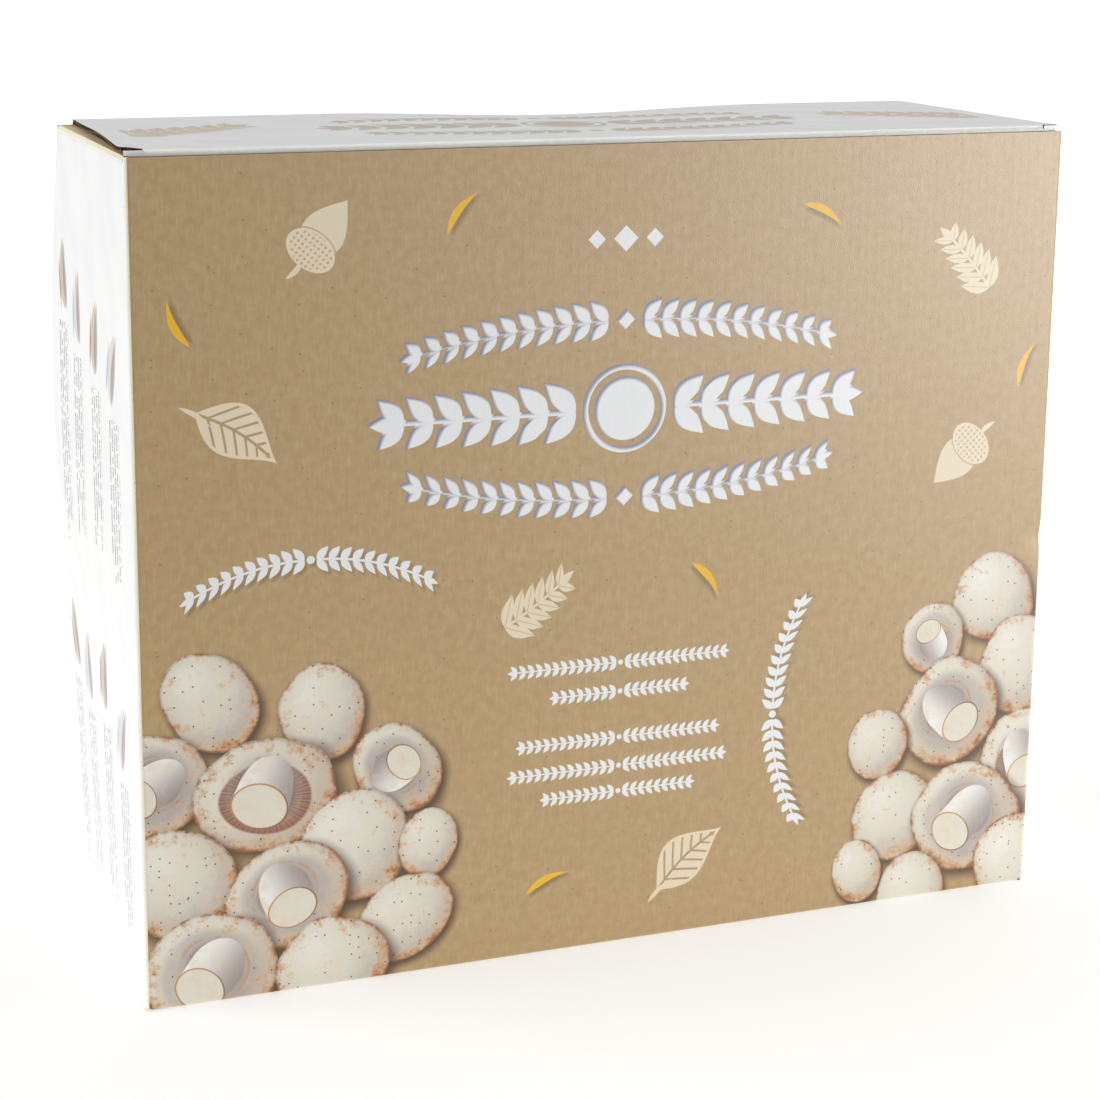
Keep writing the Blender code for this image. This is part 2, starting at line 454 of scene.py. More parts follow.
@node_group("Mask", left=0.0, width=12.0, top=30.0, bottom=-30.0)
def broken_rules(place, left, width, top, bottom):
    """A column of thin rules down the grid, broken at random as printed lines of words are."""
    x, y, _ = place.parts()
    line = ((x - left) / RULE_PITCH).math("FLOOR")
    from_line = abs(x - left - (line + 0.5) * RULE_PITCH)
    words = noise(vector(line * 7.3 + left, y * 0.5), 1.0, 0).rise(0.36, 0.42)
    letters = noise(vector(line * 3.1, y * 2.6), 1.0, 0).rise(0.3, 0.45) * 0.6 + 0.4
    ragged = noise(vector(line * 5.7 + left, 0.5), 1.0, 0) * 22
    inside = (top - y).least(y - bottom - ragged + 8)
    inside = inside.least(x - left).least(left + width - x)
    return (1 - from_line.rise(0.45, 0.75)) * words * letters * inside.rise(0.0, 0.2)


def round_grid(place, centre_x, centre_y, radius):
    """X and Y from a centre, in radii."""
    x, y, _ = place.parts()
    return (x - centre_x) / radius, (y - centre_y) / radius


def turned(x, y, turn):
    """How far a point lies along a direction and across it."""
    sine, cosine = turn.sine(), turn.cosine()
    return x * cosine + y * sine, y * cosine - x * sine


@node_group(
    "Color", under=KRAFT_LIGHT, centre_x=0.0, centre_y=0.0, radius=20.0, turn=0.0, squash=0.9,
    opened=0.0, wobble=0.0, stain=0.0, speck=0.0,
)
def heaped_cap(
    place, under, centre_x, centre_y, radius, turn, squash, opened, wobble, stain, speck
):
    """One round cap in a heap, lit from the upper left, with its shadow on what is under it."""
    x, y = round_grid(place, centre_x, centre_y, radius)
    along, across = turned(x, y, turn)
    out = distance(along, across / squash) * (1 + wobble * 0.3)
    height = (1 - out * out).greatest(0.0).math("SQRT")
    facing = height * 0.8 + y * 0.45 - x * 0.36 + stain * 0.5
    colour = blend(facing.rise(-0.05, 1.15), CAP_SHADE, CAP_WHITE)
    colour = blend(facing.rise(1.05, 1.4), colour, CAP_BRIGHT)
    groove = (1 - abs(out - 0.55).rise(0.08, 0.3)) * opened
    colour = blend(groove * 0.55, colour, CAP_SHADE)
    margin = out.rise(0.55, 1.0)
    warm = margin * (x * 0.45 - y * 0.8 + 0.35).rise(-0.3, 1.2)
    colour = blend(warm * 0.75 + stain.rise(0.48, 0.7) * 0.35, colour, CAP_CREAM)
    worn = stain + margin * 0.17 + warm * 0.13
    colour = blend(worn.rise(0.6, 0.86) * 0.8, colour, CAP_BROWN)
    colour = blend(worn.rise(0.8, 0.94) * 0.8, colour, CAP_RIM)
    contour = out.rise(0.93, 0.985) * (worn.rise(0.55, 0.8) * 0.7 + 0.25)
    colour = blend(contour, colour, CAP_RIM)
    colour = blend(speck * 0.9, colour, CAP_DARK)
    shadow = 1 - (out + y * 0.1 - x * 0.07).rise(0.9, 1.17)
    under = blend(shadow * 0.92, under, GAP_SHADE)
    return blend(1 - out.rise(0.985, 1.005), under, colour)


@node_group(
    "Color", under=CAP_WHITE, end_x=0.0, end_y=0.0, radius=6.0, length=7.0, turn=0.0,
    wobble=0.0, stain=0.0,
)
def cut_stem(place, under, end_x, end_y, radius, length, turn, wobble, stain):
    """The cut stem of a cap that lies on its side, from its root in the cap to its end."""
    along, across = turned(*round_grid(place, end_x, end_y, radius), turn)
    across = across * (1 + wobble * 0.3)
    base = along - length / radius
    beyond, before = base.greatest(0.0), (-along).greatest(0.0)
    body = (across * across + beyond * beyond * 0.6 + before * before * 2).math("SQRT")
    skirt = (across * across + base * base * 1.2).math("SQRT")
    under = blend((1 - skirt.rise(0.9, 1.8)) * 0.6, under, CAP_SHADE)
    ring = 1 - abs(skirt - 1.3).rise(0.02, 0.1)
    under = blend(ring * stain.rise(0.4, 0.6) * 0.6, under, CAP_BROWN)
    under = blend((1 - skirt.rise(0.9, 1.25)) * 0.45, under, GAP_SHADE)
    shaft = blend(across.rise(-1.0, 0.9), CAP_SHADE, CAP_BRIGHT)
    shaft = blend((stain + across * 0.1).rise(0.5, 0.75) * 0.5, shaft, CAP_CREAM)
    colour = blend(1 - body.rise(0.96, 1.0), under, shaft)
    disc = (along * along * 1.6 + across * across).math("SQRT")
    face = blend(stain.rise(0.42, 0.8) * 0.8, CAP_WHITE, CAP_CREAM)
    skin = blend(across.rise(-1, 1), CAP_RIM, CAP_BROWN)
    colour = blend(1 - disc.rise(0.97, 1.01), colour, skin)
    return blend(1 - disc.rise(0.9, 0.96), colour, face)


@node_group(
    "Color", under=CAP_WHITE, centre_x=0.0, centre_y=0.0, radius=14.0, squash=0.8, wobble=0.0
)
def turned_cap(place, under, centre_x, centre_y, radius, squash, wobble):
    """The gills that show on a cap that lies upside down."""
    x, y = round_grid(place, centre_x, centre_y, radius)
    y = y / squash
    out = distance(x, y) * (1 + wobble * 0.3)
    ray = y.math("ARCTAN2", x)
    gills = ((ray * 47).sine() + (ray * 71).sine()).rise(-1.6, 1.6)
    colour = blend(gills, GILL_DARK, GILL_LIGHT)
    colour = blend(out.rise(0.45, 1.0) * (0.5 - y * 0.3), colour, CAP_RIM)
    return blend(1 - out.rise(0.93, 1.0), under, colour)


# Printed motifs. Each takes the print's own millimetre grid and the colour under it.

def ink(depth, under, colour, strength=1.0):
    """Prints a colour where the depth is above 0."""
    return blend(depth.rise(-INK_EDGE, INK_EDGE) * strength, under, colour)


def draw_nothing(place, under):
    return under


def draw_fern(place, under):
    depth, vein = leaf_row(
        moved(place, -15, 0), leaves=6, spacing=4.4, lean=0.85, length=11, half_width=2.3,
        taper=0.45, bend=3, stem=0.45,
    )
    return blend(vein * 0.35, ink(depth, under, INK_CREAM), INK_BROWN)


def draw_broad_leaf(place, under):
    length, bend = 31, 2
    blade = moved(place, -13, 0)
    leaf = leaf_blade(blade, length=length, half_width=8.6, bend=bend, point=1.35)
    x, y, _ = blade.parts()
    rib = abs(y - (x * (math.pi / length)).sine() * bend)
    ribs = (0.45 - rib).greatest(0.55 - abs((x - rib * 0.9).math("PINGPONG", 2.2)) * 1.1)
    stalk = leaf_blade(moved(place, -18, -1), length=12, half_width=0.8, bend=0.7)
    uncut = leaf.least(-ribs.least(leaf - 1.1))
    return ink(uncut.greatest(stalk), under, INK_CREAM)


def draw_acorn(place, under):
    nut = leaf_blade(moved(place, -9, 0), length=22, half_width=7)
    x, y, _ = place.parts()
    cup = 8.6 - ((x + 6) * (x + 6) * 2.2 + y * y).math("SQRT")
    stalk = leaf_blade(moved(place, -17.5, 1), length=9, half_width=0.9, bend=-1)
    under = ink(nut, under, INK_CREAM)
    under = ink(cup.greatest(stalk), under, INK_CREAM)
    scales = ((x + y) * 1.9).sine() * ((x - y) * 1.9).sine()
    under = blend(cup.rise(0.8, 1.0) * scales.rise(0.3, 0.5) * 0.5, under, INK_BROWN)
    seam = (0.35 - abs(cup + 0.5)).rise(-INK_EDGE, INK_EDGE) * nut.rise(-INK_EDGE, INK_EDGE)
    return blend(seam * 0.5, under, INK_BROWN)


def draw_seed(place, under):
    """A yellow sliver with a soft shadow beside it."""
    shadow = leaf_blade(moved(place, -7.2, -1.3), length=15.5, half_width=1.6, bend=1.6)
    seed = leaf_blade(moved(place, -8, 0), length=16, half_width=1.25, bend=1.6)
    under = blend(shadow.rise(-0.9, 1.1) * 0.55, under, KRAFT_SPECK)
    return ink(seed, under, INK_YELLOW)


def medallion_depth(place):
    """Depth of a plain medallion between two large garlands, in an area of 190 by 30."""
    half = mirrored(place)
    x, y, _ = half.parts()
    radius = distance(x, y)
    garland, _ = leaf_row(
        moved(half, 17, 0), leaves=7, spacing=9.6, lean=0.74, length=15, half_width=3.7,
        taper=0.22, stem=1.0,
    )
    return (10.5 - radius).greatest(1.0 - abs(radius - 13.6)).greatest(garland)


def garland_depth(place, side):
    """Depth of the garland above (1) or below (-1) the medallion, in an area of 190 by 25."""
    half = mirrored(place)
    x, y, _ = half.parts()
    up = 1.5 * side
    garland, _ = leaf_row(
        moved(half, 6, up), leaves=11, spacing=6.3, lean=0.78, length=9.6, half_width=2.3,
        taper=0.25, bend=-9 * side, stem=0.6,
    )
    return (3.4 - x - abs(y - up)).greatest(garland)


def cut_out(depth, *side):
    """White ink that looks cut out of the board, with a shadow inside its upper left."""

    def draw(place, under):
        shaded = 1 - depth(moved(place, 0.75, -0.75), *side).rise(-0.5, 0.9)
        return ink(depth(place, *side), under, blend(shaded, INK_WHITE, INK_SHADOW))

    return draw


def draw_pale_cartouche(place, under):
    """The medallion and both of its garlands, in an area of 190 by 80."""
    depth = medallion_depth(place)
    for side in (1, -1):
        depth = depth.greatest(garland_depth(moved(place, 0, GARLAND_UP * side), side))
    return ink(depth, under, INK_TAN, 0.75)


def draw_lozenges(place, under):
    x, y, _ = mirrored(place).parts()
    middle = 4.2 - x - abs(y)
    outer = 3 - abs(x - 10) - abs(y)
    return ink(middle.greatest(outer), under, INK_WHITE)


def beaded_depth(place, start, bead, **row):
    """Depth of a row of leaves that grows both ways from a bead in the middle."""
    half = mirrored(place)
    x, y, _ = half.parts()
    depth, _ = leaf_row(moved(half, start, 0), lean=0.85, **row)
    return depth.greatest(bead - distance(x, y))


def draw_vines(place, under):
    """Five short rows of small leaves."""
    spacing = 2.9
    for up, reach in ((22, 38), (12, 24), (-4, 34), (-14, 39), (-23, 27)):
        depth = beaded_depth(
            moved(place, 0, up), 1.6, 0.9, leaves=round(reach / spacing), spacing=spacing,
            length=3.6, half_width=0.85, taper=0.1, stem=0.25,
        )
        under = ink(depth, under, INK_WHITE)
    return under


def arc_depth(place):
    return beaded_depth(
        place, 2, 1.3, leaves=10, spacing=3.9, length=5.6, half_width=1.3, taper=0.2,
        bend=-11, stem=0.4,
    )


def draw_arc(place, under):
    """A small white garland on a bow, with a soft shadow."""
    place = moved(place, 0, 6)
    cast = arc_depth(moved(place, 0.9, -1.1))
    under = blend(cast.rise(-0.8, 0.8) * 0.45, under, KRAFT_SPECK)
    return ink(arc_depth(place), under, INK_WHITE)


def draw_heap(caps, middle):
    """A heap of caps, the first at the back, on a grid whose origin is at the heap's middle."""

    def draw(place, under):
        place = moved(place, -middle[0], -middle[1])
        wobble = noise(place, 0.035, 1) - 0.5
        stain = noise(place, 0.16, 4, 0.78)
        dots = specks(place, 0.34, 0.12, 0.2)
        for right, up, radius, look, turn in caps:
            uneven = 0.06 * (up % 4)
            under = heaped_cap(
                place, under=under, centre_x=right, centre_y=up, radius=radius,
                turn=right * 0.1 + up, squash=0.8 + uneven, wobble=wobble,
                opened=float(look == "stem"), stain=stain, speck=dots,
            )
            if look == "gills":
                under = turned_cap(
                    place, under=under, centre_x=right + 1, centre_y=up - 1,
                    radius=radius * 0.66, wobble=wobble,
                )
            if look != "top":
                reach = radius * (0.16 + uneven)
                under = cut_stem(
                    place, under=under, radius=radius * 0.4, length=reach * 1.3,
                    end_x=right - math.cos(turn) * reach, end_y=up - math.sin(turn) * reach,
                    turn=turn, wobble=wobble, stain=stain,
                )
        return under

    return draw


def draw_guide(columns):
    """Small pictograms over columns of thin broken rules. Columns are (left, top, bottom)."""

    def draw(place, under):
        for number, (left, top, bottom) in enumerate(columns):
            picture = moved(place, left + 6, top + 16, math.pi / 2 + 0.3 - 0.2 * number)
            for right, up, length, half_width, bend, inks, strength in (
                (-12, 0, 24, 4.6, 2, (INK_TAN, INK_PALE), 0.8),
                (-12, -2, 24, 2.4, 1, (INK_GREY, INK_PURPLE), 0.55),
                (-11, 6, 18, 0.9, 0, (INK_BROWN, INK_BLUE), 0.8),
            ):
                leaf = leaf_blade(
                    moved(picture, right, up), length=length, half_width=half_width, bend=bend
                )
                under = ink(leaf, under, inks[number % 2], strength)
            rules = broken_rules(place, left=left, top=top, bottom=bottom, width=13)
            under = blend(rules * 0.8, under, INK_GREY)
        return under

    return draw


def draw_worn_fold(place, under):
    """A fold whose white liner has gone creamy, with a few brown fibres showing."""
    under = blend(noise(place, 0.4, 2).rise(0.1, 0.5), under, PAPER_CREAM)
    return blend(noise(place, 0.9, 2).rise(0.62, 0.75) * 0.5, under, BOARD_PALE)


def draw_fold_highlight(place, under):
    """A fold of white liner painted brighter than the rest, a little unevenly: a painted
    highlight.
    """
    return blend(noise(place, 0.5, 1).rise(0.3, 0.9) * 0.4 + 0.6, under, PAPER_HIGHLIGHT)


def draw_pale_sprig(place, under):
    depth, vein = leaf_row(
        moved(place, -32, 0), leaves=7, spacing=8, lean=0.8, length=17, half_width=4.2,
        taper=0.35, bend=5, stem=0.8,
    )
    return blend(vein * 0.5, ink(depth, under, INK_PALE), INK_TAN)


# Materials

def new_material(name, roughness, gloss):
    """A material, the inputs of its shader, and the place on the piece in metres."""
    material = bpy.data.materials.new(name)
    material.use_nodes = True
    nodes = material.node_tree.nodes
    shader = nodes["Principled BSDF"].inputs
    shader["Roughness"].default_value = roughness
    shader["Specular IOR Level"].default_value = gloss
    return material, shader, Wire(nodes.new("ShaderNodeTexCoord").outputs["Object"])


def millimetres(metres):
    return vector(*(part / MM for part in metres.parts()))


def emboss(shader, height, reach):
    """Raises a surface by the height, where 1 is a reach in millimetres."""
    bump = height.tree.nodes.new("ShaderNodeBump")
    bump.inputs["Distance"].default_value = reach * MM
    plug(height, bump.inputs["Height"])
    plug(Wire(bump.outputs[0]), shader["Normal"])


def board_material(name, liner, draw, roughness=0.45, rib=0.003, grain=0.026, along_y=0.0):
    """Printed or bare board: a liner, one printed motif on it, ribs and grain."""
    material, shader, metres = new_material(name, roughness, 0.35)
    place = millimetres(metres)
    uv = material.node_tree.nodes.new("ShaderNodeUVMap")
    uv.uv_map = "print"
    colour, height = liner(place)
    plug(draw(Wire(uv.outputs[0]), colour), shader["Base Color"])
    emboss(shader, washboard(place, along_y=along_y) * rib + height * grain, 1)
    return material


def edge_material(name, along_y):
    """Cut edges. The attribute across runs from 0 on the outer side to 1 on the inner."""
    material, shader, metres = new_material(name, 0.9, 0.2)
    across = material.node_tree.nodes.new("ShaderNodeAttribute")
    across.attribute_name = "across"
    across = Wire(across.outputs["Fac"])
    colour, height = flute_edge(millimetres(metres), across=across, along_y=along_y)
    plug(colour, shader["Base Color"])
    emboss(shader, height, 0.3)
    return material


# Each heap has its lower left and upper right corner on the front wall, and its caps as
# (right, up, radius, look, turn of the stem), measured from the middle of its area
HEAPS = {
    "left": ((-160, 0), (-50, 120), (
        (-33, 40, 18, "top", 0), (3, 33, 16, "top", 0), (-51, 15, 18, "stem", 0.6),
        (28, 12, 17, "stem", 3.8), (-16, 8, 24, "gills", 1.2), (14, -13, 19, "top", 0),
        (38, -15, 12, "top", 0), (-44, -18, 20, "top", 0), (-9, -27, 21, "stem", 2.0),
        (30, -40, 17, "top", 0), (-34, -50, 22, "stem", 0.9), (6, -54, 19, "top", 0),
    )),
    "right": ((75, 0), (160, 130), (
        (25, 43, 16, "top", 0), (0, 30, 13, "stem", 5.2), (35, 17, 18, "top", 0),
        (8, 3, 20, "stem", 2.4), (-20, -6, 13, "top", 0), (39, -18, 19, "gills", 1.9),
        (-12, -33, 17, "top", 0), (16, -37, 21, "stem", 0.8), (-26, -52, 12, "top", 0),
        (38, -58, 18, "top", 0), (-4, -64, 17, "top", 0),
    )),
}
HEAP_TILE = 30
CAST_REACH = 1.3


def middle_of(low, high):
    return [(low[way] + high[way]) / 2 for way in (0, 1)]


def heap_tiles():
    """Cuts the heaps into tiles that each shade only the caps which reach them.

    Each tile comes as its material's name, its corners on the wall and its drawing."""
    for heap, (low, high, caps) in HEAPS.items():
        centre = middle_of(low, high)
        columns, rows = [math.ceil((high[way] - low[way]) / HEAP_TILE) for way in (0, 1)]
        for number in range(columns * rows):
            step = number % columns, number // columns
            start = [low[way] + HEAP_TILE * step[way] for way in (0, 1)]
            end = [min(start[way] + HEAP_TILE, high[way]) for way in (0, 1)]
            tile = middle_of(start, end)
            middle = [tile[way] - centre[way] for way in (0, 1)]
            near = [
                cap for cap in caps
                if all(
                    abs(cap[way] - middle[way]) < (end[way] - start[way]) / 2 + CAST_REACH * cap[2]
                    for way in (0, 1)
                )
            ]
            yield f"kraft_heap_{heap}_{number + 1}", start, end, draw_heap(near, middle)


# Columns of the guides on the narrow walls as (left, top, bottom)
GUIDE_UPPER = ((-42, 12, -58), (-21, 4, -58), (4, -2, -50), (27, -8, -60))
GUIDE_LOWER = ((-42, 14, -48), (-21, 8, -52), (4, 12, -44), (27, -2, -50))


def make_materials():
    """Every finish of the carton, by name."""
    kraft = {
        "kraft_plain": draw_nothing,
        "kraft_fern": draw_fern,
        "kraft_broad_leaf": draw_broad_leaf,
        "kraft_acorn": draw_acorn,
        "kraft_seed": draw_seed,
        "kraft_garland_upper": cut_out(garland_depth, 1),
        "kraft_medallion": cut_out(medallion_depth),
        "kraft_garland_lower": cut_out(garland_depth, -1),
        "kraft_lozenges": draw_lozenges,
        "kraft_vines": draw_vines,
        "kraft_arc": draw_arc,
        **{name: draw for name, _, _, draw in heap_tiles()},
    }
    white = {
        "white_plain": draw_nothing,
        "white_fold": draw_worn_fold,
        "white_rubbed": draw_fold_highlight,
        "white_guide_upper": draw_guide(GUIDE_UPPER),
        "white_guide_lower": draw_guide(GUIDE_LOWER),
        "white_sprig": draw_pale_sprig,
        "white_cartouche": draw_pale_cartouche,
    }
    made = {name: board_material(name, kraft_fibre, draw) for name, draw in kraft.items()}
    for name, draw in white.items():
        made[name] = board_material(name, white_liner, draw, grain=0.015)
    for name, along_y in (("bare_board", 0), ("bare_flap", 1)):
        made[name] = board_material(name, bare_liner, draw_nothing, 0.85, 0.03, 0.05, along_y)
    for name, along_y in (("cut_edge", 0), ("cut_edge_sides", 1)):
        made[name] = edge_material(name, along_y)
    return made


# Modelling by hand

def begin(name, size, location=(0, 0, 0), rotation=(0, 0, 0)):
    """Adds the flat sheet that a piece starts from, and enters edit mode."""
    bpy.ops.mesh.primitive_plane_add(size=1, location=location, rotation=rotation)
    piece = bpy.context.object
    piece.name = piece.data.name = name
    piece.scale = (*size, 1)
    bpy.ops.object.transform_apply(location=True, rotation=True, scale=True)
    piece.data.uv_layers[0].name = "print"
    bpy.ops.object.mode_set(mode="EDIT")
    return piece


def corners_of(element):
    """Lowest and highest corner of a vertex, edge or face."""
    points = [element.co] if hasattr(element, "co") else [vert.co for vert in element.verts]
    low = Vector(min(point[axis] for point in points) for axis in range(3))
    high = Vector(max(point[axis] for point in points) for axis in range(3))
    return low, high


def pick(kind, test):
    """Selects the VERT, EDGE or FACE elements whose lowest and highest corner pass the test."""
    bpy.ops.mesh.select_mode(type=kind)
    bpy.ops.mesh.select_all(action="DESELECT")
    mesh = bpy.context.object.data
    form = bmesh.from_edit_mesh(mesh)
    elements = {"VERT": form.verts, "EDGE": form.edges, "FACE": form.faces}[kind]
    for element in list(elements):
        if test(*corners_of(element)):
            element.select_set(True)
    form.select_flush_mode()
    bmesh.update_edit_mesh(mesh)


def beyond(low, high, reach):
    """Whether an element lies farther left or farther right than a reach."""
    return min(abs(low.x), abs(high.x)) > reach - TINY


def slice_at(axis, places):
    """Cuts the whole mesh in edit mode across an axis at each place."""
    normal = [1 if index == axis else 0 for index in range(3)]
    for place in places:
        bpy.ops.mesh.select_all(action="SELECT")
        point = [place if index == axis else 0 for index in range(3)]
        bpy.ops.mesh.bisect(plane_co=point, plane_no=normal, threshold=0.0001)


def grid(low, high, step=CELL):
    """The multiples of a step that lie between two places."""
    first = math.floor(low / step) + 1
    last = math.ceil(high / step) - 1
    return [index * step for index in range(first, last + 1)]


def extrude_edges(move):
    bpy.ops.mesh.extrude_edges_move(TRANSFORM_OT_translate={"value": move})


def join_folds(wall):
    """Merges the seams of a folded sheet and turns its faces outwards, as the wall's are."""
    bpy.ops.mesh.select_mode(type="VERT")
    bpy.ops.mesh.select_all(action="SELECT")
    bpy.ops.mesh.remove_doubles(threshold=TINY / 2)
    bpy.ops.mesh.normals_make_consistent(inside=False)
    form = bmesh.from_edit_mesh(bpy.context.object.data)
    largest = max(form.faces, key=lambda face: face.calc_area())
    if largest.normal.dot(WALLS[wall][0]) < 0:
        bpy.ops.mesh.flip_normals()


def fold_edges(angle, centre, steps=FOLD_STEPS, axis=(1, 0, 0)):
    """Spins the selected edges about an axis through a point, clockwise along the axis."""
    bpy.ops.mesh.spin(steps=steps, angle=angle, center=centre, axis=axis)


def nudge(move, reach=0):
    """Moves what is selected, and with a reach also its connected neighbours, ever less."""
    bpy.ops.transform.translate(
        value=move,
        use_proportional_edit=reach > 0,
        use_proportional_connected=True,
        proportional_edit_falloff="SMOOTH",
        proportional_size=max(reach, 1),
    )


def settle(point):
    """Where a point of the square carton lies once its board has bowed and dipped."""
    x, y, z = point
    across = min(1, abs(x) / HALF_WIDTH)
    along = min(1, abs(y) / HALF_DEPTH)
    to_back = min(1, max(0, y / DEPTH + 0.5))
    up = min(1, max(0, z / WALL_HEIGHT))
    swell = math.sin(math.pi * up**BOW_RISE)
    belly = math.sin(math.pi * up)
    side = BACK_EDGE_BOW * to_back**2 * swell + SIDE_BOW * (1 - along**2) * belly
    face = FACE_BOW * (1 - across**2) * belly
    reach = min(1, abs(x - DIP_CENTRE) / DIP_REACH)
    near_top = max(0, 1 - max(0, WALL_HEIGHT - z) / DIP_HEIGHT)
    dip = DIP * math.cos(reach * math.pi / 2) ** 2 * to_back**2 * near_top
    return Vector((
        x + math.copysign(side * across**4, x),
        y + math.copysign(face * along**4, y),
        z - dip,
    ))


def make_bow_lattice():
    """A lattice round the carton, bent as the CAD walls are."""
    size = Vector((WIDTH, DEPTH, LID_TOP))
    centre = Vector((0, 0, LID_TOP / 2))
    bpy.ops.object.add(type="LATTICE", location=centre)
    lattice = bpy.context.object
    lattice.name = "bow_lattice"
    lattice.scale = size
    shape = lattice.data
    shape.points_u, shape.points_v, shape.points_w = LATTICE_POINTS
    for way in "uvw":
        setattr(shape, "interpolation_type_" + way, "KEY_LINEAR")
    for point in shape.points:
        rest = centre + point.co * size
        move = settle(rest) - rest
        point.co_deform = point.co + Vector(move[axis] / size[axis] for axis in range(3))
    return lattice


def activate(piece):
    """Makes the piece the only selected one, in object mode."""
    if bpy.context.object and bpy.context.object.mode == "EDIT":
        bpy.ops.object.mode_set(mode="OBJECT")
    bpy.ops.object.select_all(action="DESELECT")
    piece.select_set(True)
    bpy.context.view_layer.objects.active = piece


def cover(piece, material):
    """Ends the work in edit mode and gives the whole sheet one finish."""
    activate(piece)
    piece.data.materials.append(material)


def print_on(piece, materials, wall, *prints):
    """Prints motifs on the faces of a wall, each as (material's name, low, high, any turn).

    Low and high are two corners (right, up) of a rectangle. The UVs of the faces in it become
    the motif's own grid: millimetres from the rectangle's middle, turned."""
    normal, right, up = WALLS[wall]
    mesh = piece.data
    for name, low, high, *rest in prints:
        if materials[name].name not in mesh.materials:
            mesh.materials.append(materials[name])
        slot = mesh.materials.find(materials[name].name)
        middle = middle_of(low, high)
        turn = rest[0] if rest else 0
        sine, cosine = math.sin(turn), math.cos(turn)
        for face in mesh.polygons:
            place = face.center.dot(right), face.center.dot(up)
            within = all(low[way] < place[way] < high[way] for way in (0, 1))
            if not within or face.normal.dot(normal) < FACING:
                continue
            face.material_index = slot
            for loop in face.loop_indices:
                point = mesh.vertices[mesh.loops[loop].vertex_index].co
                across = point.dot(right) - middle[0]
                above = point.dot(up) - middle[1]
                mesh.uv_layers["print"].data[loop].uv = (
                    across * cosine + above * sine, above * cosine - across * sine
                )


def thicken(piece, materials, inner="bare_board", edge="cut_edge"):
    """Gives the sheet its board thickness, bare liner inside and a cut edge all round."""
    outer_points, outer_faces = len(piece.data.vertices), len(piece.data.polygons)
    board = piece.modifiers.new("board", "SOLIDIFY")
    board.thickness = BOARD
    board.offset = -1
    board.use_even_offset = True
    bpy.ops.object.modifier_apply(modifier="board")
    mesh = piece.data
    inner_slot = len(mesh.materials)
    for name in (inner, edge):
        mesh.materials.append(materials[name])
    for face in mesh.polygons:
        if face.index >= 2 * outer_faces:
            face.material_index = inner_slot + 1
        elif face.index >= outer_faces:
            face.material_index = inner_slot
    across = mesh.attributes.new("across", "FLOAT", "POINT")
    for point in mesh.vertices:
        across.data[point.index].value = 0.0 if point.index < outer_points else 1.0


def complete(piece, lattice, body, slot, *replaced):
    """Bows the finished piece, scales it to metres, joins it to the frame of its body (all but the
    lid) and hides the CAD parts it replaces.
    """
    bow = piece.modifiers.new("bow", "LATTICE")
    bow.object = lattice
    bpy.ops.object.modifier_apply(modifier="bow")
    piece.scale = (MM, MM, MM)
    bpy.ops.object.transform_apply(location=False, rotation=False, scale=True)
    bpy.ops.object.shade_smooth_by_angle(angle=SMOOTH_ANGLE)
    if body == "lid":
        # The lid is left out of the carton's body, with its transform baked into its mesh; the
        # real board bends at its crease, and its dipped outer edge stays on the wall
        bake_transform(piece)
    else:
        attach(piece, body)
    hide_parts(*replaced)
    piece.select_set(False)


# The carton's pieces

def fold_walls():
    """The four walls as one sheet, folded round from the raw end at the back's right."""
    middle = 0, -HALF_DEPTH, WALL_HEIGHT / 2
    walls = begin("wrapped_walls", (WIDTH, WALL_HEIGHT), middle, (math.pi / 2, 0, 0))
    pick("EDGE", lambda low, high: low.x > HALF_WIDTH - TINY)
    extrude_edges((0, HALF_DEPTH + INSIDE_Y - GAP, 0))
    extrude_edges((INSIDE_X - GAP - HALF_WIDTH, 0, 0))
    pick("EDGE", lambda low, high: high.x < -HALF_WIDTH + TINY)
    extrude_edges((0, DEPTH, 0))
    extrude_edges((WIDTH, 0, 0))
    pick(
        "EDGE",
        lambda low, high: abs(low.x) > HALF_WIDTH - TINY
        and high.z - low.z > WALL_HEIGHT / 2
        and not (low.x > 0 and low.y > HALF_DEPTH - TINY),
    )
    bpy.ops.mesh.bevel(offset=FOLD, segments=FOLD_STEPS, profile=0.5, affect="EDGES")
    bpy.ops.mesh.select_all(action="SELECT")
    bpy.ops.mesh.normals_make_consistent(inside=False)
    slice_at(0, grid(-HALF_WIDTH, HALF_WIDTH))
    slice_at(1, grid(-HALF_DEPTH, HALF_DEPTH))
    slice_at(2, [*grid(0, WALL_HEIGHT), *DENT_CUTS, *CRUSH_CUTS])
    reach = HALF_DEPTH - FOLD + TINY
    pick("VERT", lambda low, high: low.z > WALL_HEIGHT - TINY and abs(low.y) < reach)
    nudge((0, 0, SIDE_TOP - WALL_HEIGHT))
    for place, move, reach in (
        (DENT_PLACE, DENT_MOVE, DENT_REACH),
        (CRUSH_PLACE, CRUSH_MOVE, CRUSH_REACH),
    ):
        pick("VERT", lambda low, high: (low - place).length < DAMAGE_CORE)
        nudge(move, reach)
    return walls


def split_front(walls):
    """Takes the kraft front off the wrapped walls, along its two folds."""
    pick(
        "FACE",
        lambda low, high: high.y < -HALF_DEPTH + FOLD and high.x - low.x > FOLD
        and max(abs(low.x), abs(high.x)) < HALF_WIDTH - FOLD + TINY,
    )
    bpy.ops.mesh.separate(type="SELECTED")
    front = next(obj for obj in bpy.context.selected_objects if obj != walls)
    front.name = front.data.name = "kraft_front"
    return front


